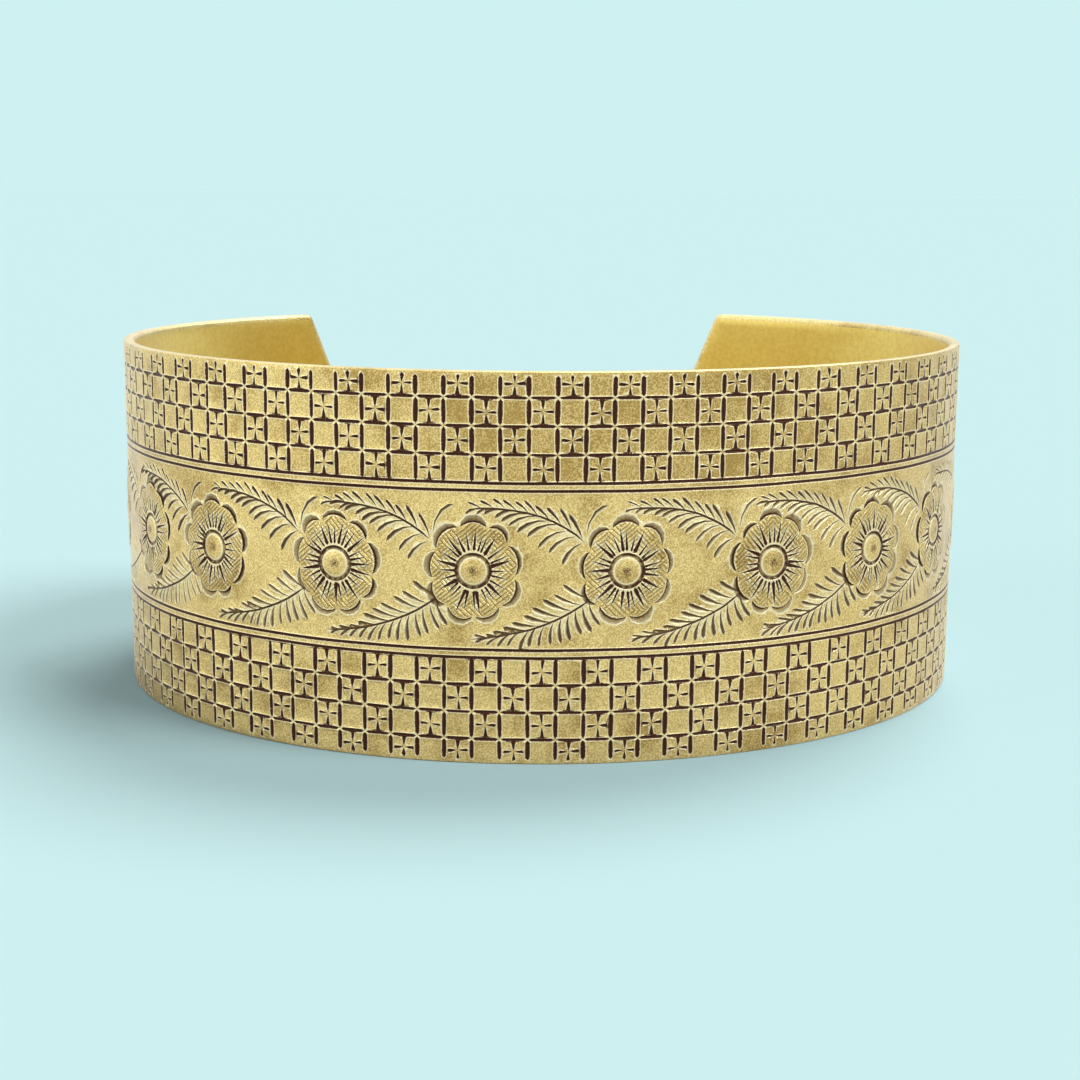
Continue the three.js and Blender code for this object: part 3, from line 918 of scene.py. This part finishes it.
# %% Group: patina in the cuts; wear and painted highlight on the lips; painted shade and reflection
TARNISH_SHARE = 0.55
DARK_REFLECTION_SHARE = 0.4
WEAR_AND_HIGHLIGHT_SHARE = 0.95
FULL_WEAR_AND_HIGHLIGHT = 0.7
FULL_PATINA = 0.26
PATINA_BLUR, MOTTLE_BLUR = 0.3, 0.08
PATINA_OVER_METAL = 0.55
patina_and_painted_light_group, given, put_out = new_group(
    "patina_wear_and_painted_light",
    {
        "Metal": (0.8, 0.64, 0.24, 1.0), "Tarnish": (0.5, 0.36, 0.12, 1.0),
        "Patina_and_painted_shade_colour": (0.08, 0.024, 0.008, 1.0), "Wear_and_painted_highlight": (1.0, 0.94, 0.6, 1.0),
        "Cut": 0.0, "Patina_and_painted_shade": 0.0, "Scratch": 0.0, "Lip": 0.0, "Painted_dark_reflection": 0.0,
        "Speckle": 0.5, "Mottle": 0.5, "Satin": 0.36,
    },
    {"Colour": "Color", "Roughness": "Float", "Metallic": "Float"},
)
patina_and_painted_light_math = functools.partial(math_node, patina_and_painted_light_group)

# Tarnish comes in specks and clouds. The front of the upper border is painted darker on top of
# it, a painted dark reflection.
specks = ramp(patina_and_painted_light_group, given["Speckle"], 0.43, 0.57)
clouds = ramp(patina_and_painted_light_group, given["Mottle"], 0.44, 0.72)
tarnish_and_painted_reflection = patina_and_painted_light_math("MULTIPLY", patina_and_painted_light_math("ADD", specks, clouds), TARNISH_SHARE)
darker_reflection = patina_and_painted_light_math("MULTIPLY", given["Painted_dark_reflection"], DARK_REFLECTION_SHARE)
tarnish_and_painted_reflection = patina_and_painted_light_math("ADD", tarnish_and_painted_reflection, darker_reflection, clamp=True)
metal = mix_colour(patina_and_painted_light_group, tarnish_and_painted_reflection, given["Metal"], given["Tarnish"])
# The lips are painted brighter, partly for wear and partly as a painted highlight. The boss shoulders and
# the rim get the same paint, and there it is all painted highlight.
wear_and_highlight = patina_and_painted_light_math("MULTIPLY", ramp(patina_and_painted_light_group, given["Lip"], 0, FULL_WEAR_AND_HIGHLIGHT), WEAR_AND_HIGHLIGHT_SHARE)
metal = mix_colour(patina_and_painted_light_group, wear_and_highlight, metal, given["Wear_and_painted_highlight"])

# The speckle makes the patina's edge ragged.
rough_edge = patina_and_painted_light_math("SUBTRACT", patina_and_painted_light_math("MULTIPLY", given["Speckle"], 3.0), 0.5)
ragged = patina_and_painted_light_math("MULTIPLY", given["Cut"], rough_edge)
# How dark a place is: its patina, and where one slope of a cut is given more than the other, painted
# shade.
dark = patina_and_painted_light_math("MULTIPLY", ramp(patina_and_painted_light_group, ragged, 0.0, FULL_PATINA), given["Patina_and_painted_shade"])
dark = patina_and_painted_light_math("MAXIMUM", dark, given["Scratch"])
colour = mix_colour(patina_and_painted_light_group, dark, metal, given["Patina_and_painted_shade_colour"])
feed(patina_and_painted_light_group, put_out["Colour"], colour)

blur = patina_and_painted_light_math("ADD", given["Satin"], patina_and_painted_light_math("MULTIPLY", dark, PATINA_BLUR))
blur = patina_and_painted_light_math("ADD", blur, patina_and_painted_light_math("MULTIPLY", given["Mottle"], MOTTLE_BLUR))
feed(patina_and_painted_light_group, put_out["Roughness"], blur)
less = patina_and_painted_light_math("MULTIPLY", dark, PATINA_OVER_METAL)
feed(patina_and_painted_light_group, put_out["Metallic"], patina_and_painted_light_math("SUBTRACT", 1.0, less))
print("group:", patina_and_painted_light_group.name)


# %% Two brasses: chased outside, plain inside
BOUNCED = (0.3, 0.3, 0.3, 1)
WAX_START, WAX_FULL, WAX_ROUGHNESS = 0.4, 0.85, 0.3
SCRATCH_STAIN, SCRATCH_DEPTH = 0.42, 2.0


def hatching(tree, petal):
    """Fine scratches on the petals: two families of slanting lines on the strip's own map, each
    a wave with only its crests kept. A noise shows one where it is high and the other where it
    is low, like a basket weave. A wave texture of scale 1 has 20 crests in 2 pi of the map."""
    strip = node(tree, "ShaderNodeUVMap", {"uv_map": "strip"}).outputs["UV"]
    patch = node(tree, "ShaderNodeTexNoise", Vector=strip, Scale=95.0, Detail=1.0).outputs["Fac"]
    families = []
    for slant, spacing, low, high in ((50, 0.23, 0.42, 0.54), (-43, 0.26, 0.56, 0.46)):
        turned = node(tree, "ShaderNodeMapping", Vector=strip, Rotation=(0, 0, math.radians(slant)))
        sockets = {
            "Vector": turned.outputs["Vector"],
            "Scale": 2 * math.pi / (20 * spacing * STRIP_SCALE),
            "Distortion": 3.0, "Detail": 2.0, "Detail Scale": 0.5,
        }
        settings = {"wave_type": "BANDS", "bands_direction": "X"}
        wave = node(tree, "ShaderNodeTexWave", settings, **sockets)
        crest = ramp(tree, wave.outputs["Fac"], 0.45, 1.0)
        families.append(math_node(tree, "MULTIPLY", crest, ramp(tree, patch, low, high)))
    return math_node(tree, "MULTIPLY", math_node(tree, "MAXIMUM", *families), petal)


def brass(name, metal, tarnish_and_painted_reflection, satin, bump, grain_size, chased):
    """Satin brass. The chased one reads the marks on the mesh, and the plain one has none. Both
    throw a neutral light on what is round them, so that the pale floor isn't tinted."""
    material = bpy.data.materials.new(name)
    material.use_nodes = True
    tree = material.node_tree
    shader = tree.nodes["Principled BSDF"].inputs
    grain = node(tree, "ShaderNodeGroup", {"node_tree": grain_group}, **{"Grain size": grain_size})
    patina = node(tree, "ShaderNodeGroup", {"node_tree": patina_and_painted_light_group},
                  Metal=metal, Tarnish=tarnish_and_painted_reflection, Satin=satin,
                  Mottle=grain.outputs["Mottle"], Speckle=grain.outputs["Speckle"])
    height = grain.outputs["Height"]
    if chased:
        found = {}
        for mark in marks:
            found[mark] = node(tree, "ShaderNodeAttribute", {"attribute_name": mark}).outputs["Fac"]
        for mark in ("cut", "patina_and_painted_shade", "lip", "painted_dark_reflection"):
            feed(tree, patina.inputs[mark.capitalize()], found[mark])
        scratches = hatching(tree, found["petal"])
        stained = math_node(tree, "MULTIPLY", scratches, SCRATCH_STAIN)
        feed(tree, patina.inputs["Scratch"], stained)
        scored = math_node(tree, "MULTIPLY", scratches, SCRATCH_DEPTH)
        height = math_node(tree, "SUBTRACT", height, scored)
    relief = node(tree, "ShaderNodeBump", Distance=bump, Height=height)
    feed(tree, shader["Normal"], relief.outputs["Normal"])
    bounced = node(tree, "ShaderNodeLightPath").outputs["Is Diffuse Ray"]
    feed(tree, shader["Base Color"], mix_colour(tree, bounced, patina.outputs["Colour"], BOUNCED))
    feed(tree, shader["Roughness"], patina.outputs["Roughness"])
    feed(tree, shader["Metallic"], patina.outputs["Metallic"])
    slant = node(tree, "ShaderNodeLayerWeight", Blend=0.5).outputs["Facing"]
    feed(tree, shader["Coat Weight"], ramp(tree, slant, WAX_START, WAX_FULL))
    feed(tree, shader["Coat Roughness"], WAX_ROUGHNESS)
    return material


outside = brass("brass_chased", (1.0, 0.845, 0.37, 1), (0.45, 0.31, 0.09, 1),
                satin=0.34, bump=0.000045, grain_size=9500.0, chased=True)
# The plain inside's deeper, more saturated brass is partly painted, for the light that bounces about
# inside the oval.
inside = brass("brass_plain", (0.89, 0.73, 0.23, 1), (0.8, 0.61, 0.16, 1),
               satin=0.33, bump=0.000004, grain_size=3000.0, chased=False)
cuff_mesh.materials.append(outside)
cuff_mesh.materials.append(inside)
face_material = np.zeros(len(faces), np.int32)
face_material[len(outer_faces) + len(rim_faces):] = 1
cuff_mesh.polygons.foreach_set("material_index", face_material)
print("materials:", outside.name, "and", inside.name)

# %% [markdown]
# ## The stage
#
# The cuff stands on a pale plain floor that runs out of sight. The air round it is one even
# pale colour too, the same as the floor's where they meet, so no horizon shows from any side.
# Satin metal shows mostly what it reflects. So the metal is given its own surroundings: a white
# floor, a duller band at eye level, and a bright ceiling, all of it brighter on the left. Two
# large soft lamps make the shadows.

# %% A floor that is a wide disc
PALE = (0.624, 0.88, 0.887, 1)
WHITE_FLOOR = (0.85, 0.84, 0.81, 1)
FLOOR_RADIUS = 6.0
FLOOR_POINTS = 96

edge = FLOOR_RADIUS * on_circle(angles(FLOOR_POINTS))
points = np.column_stack([np.concatenate([edge, [[0.0, 0.0]]]), np.zeros(FLOOR_POINTS + 1)])
step = np.arange(FLOOR_POINTS)
fan = np.stack([np.full(FLOOR_POINTS, FLOOR_POINTS), step, (step + 1) % FLOOR_POINTS], axis=1)
floor_mesh = bpy.data.meshes.new("pale_floor")
floor_mesh.from_pydata(points.tolist(), [], fan.tolist())
floor = bpy.data.objects.new("pale_floor", floor_mesh)
bpy.context.scene.collection.objects.link(floor)

floor_finish = bpy.data.materials.new("pale_floor")
floor_finish.use_nodes = True
tree = floor_finish.node_tree
shader = tree.nodes["Principled BSDF"].inputs
feed(tree, shader["Roughness"], 0.9)
feed(tree, shader["Specular IOR Level"], 0.0)
seen = node(tree, "ShaderNodeLightPath").outputs["Is Camera Ray"]
feed(tree, shader["Base Color"], mix_colour(tree, seen, WHITE_FLOOR, PALE))
floor_mesh.materials.append(floor_finish)
print("floor radius, m:", FLOOR_RADIUS)

# %% The air, and what the metal sees in it
AIR_LIGHT = (0.3, 0.3, 0.3, 1)
HORIZON, CEILING = (0.7, 0.69, 0.64, 1), (1.1, 1.08, 1.03, 1)
CEILING_START, CEILING_FULL = 0.05, 0.75
SIDE_TILT = -0.31
world = bpy.data.worlds.new("studio_air")
world.use_nodes = True
tree = world.node_tree
generated = node(tree, "ShaderNodeTexCoord").outputs["Generated"]
way = node(tree, "ShaderNodeSeparateXYZ", Vector=generated).outputs
risen = ramp(tree, way["Z"], CEILING_START, CEILING_FULL)
tilt = math_node(tree, "ADD", math_node(tree, "MULTIPLY", way["X"], SIDE_TILT), 1.0)
mirrored = node(tree, "ShaderNodeVectorMath", {"operation": "SCALE"},
                Vector=mix_colour(tree, risen, HORIZON, CEILING), Scale=tilt)
path = node(tree, "ShaderNodeLightPath").outputs
lighting = mix_colour(tree, path["Is Glossy Ray"], AIR_LIGHT, mirrored.outputs["Vector"])
seen = mix_colour(tree, path["Is Camera Ray"], lighting, PALE)
feed(tree, tree.nodes["Background"].inputs["Color"], seen)
bpy.context.scene.world = world
bpy.context.scene.view_settings.view_transform = "Standard"
print("world:", world.name)

# %% Two large soft lamps, and a weak low one
# Each share is of the light that falls on the floor: what the air doesn't give, they do. The
# low one lifts the side that the first one leaves in shade.
LAMP_ANGLE = math.radians(30)
LAMPS = {
    "lamp_front_right": ((0.8, -0.45, 1.0), 0.3),
    "lamp_behind": ((0.35, 0.5, 1.0), 0.37),
    "lamp_left": ((-1.0, -0.35, 0.45), 0.025),
}
for name, (way, share) in LAMPS.items():
    way = Vector(way)
    lamp = bpy.data.lights.new(name, "SUN")
    lamp.angle = LAMP_ANGLE
    lamp.energy = share * math.pi * way.length / way.z
    holder = bpy.data.objects.new(name, lamp)
    holder.matrix_world = way.to_track_quat("Z", "Y").to_matrix().to_4x4()
    bpy.context.scene.collection.objects.link(holder)
    print(name, "energy", round(lamp.energy, 2))

# %% [markdown]
# ## The camera
#
# The photograph was taken from a little above, a little to the left of the cuff's front. The
# place and the lens were worked out from where the check lines and the rims fall in it.

# %% Camera
LENS = 63.9
CAMERA_FROM_OVAL = np.array([-15.72, -146.65, 37.125])
AZIMUTH, PITCH, ROLL = math.radians(-6.06), math.radians(90 - 10.65), math.radians(0.39)

camera_data = bpy.data.cameras.new("camera")
camera_data.lens = LENS
camera_data.sensor_width = 36.0
camera_data.clip_start = 0.005
camera = bpy.data.objects.new("camera", camera_data)
place = Vector(((CAMERA_FROM_OVAL + OVAL_MIDDLE) * MM).tolist())
turned = Matrix.Rotation(AZIMUTH, 4, "Z") @ Matrix.Rotation(PITCH, 4, "X") @ Matrix.Rotation(ROLL, 4, "Z")
camera.matrix_world = Matrix.Translation(place) @ turned
bpy.context.scene.collection.objects.link(camera)
bpy.context.scene.camera = camera
print("camera at, mm:", [round(c / MM, 1) for c in place])
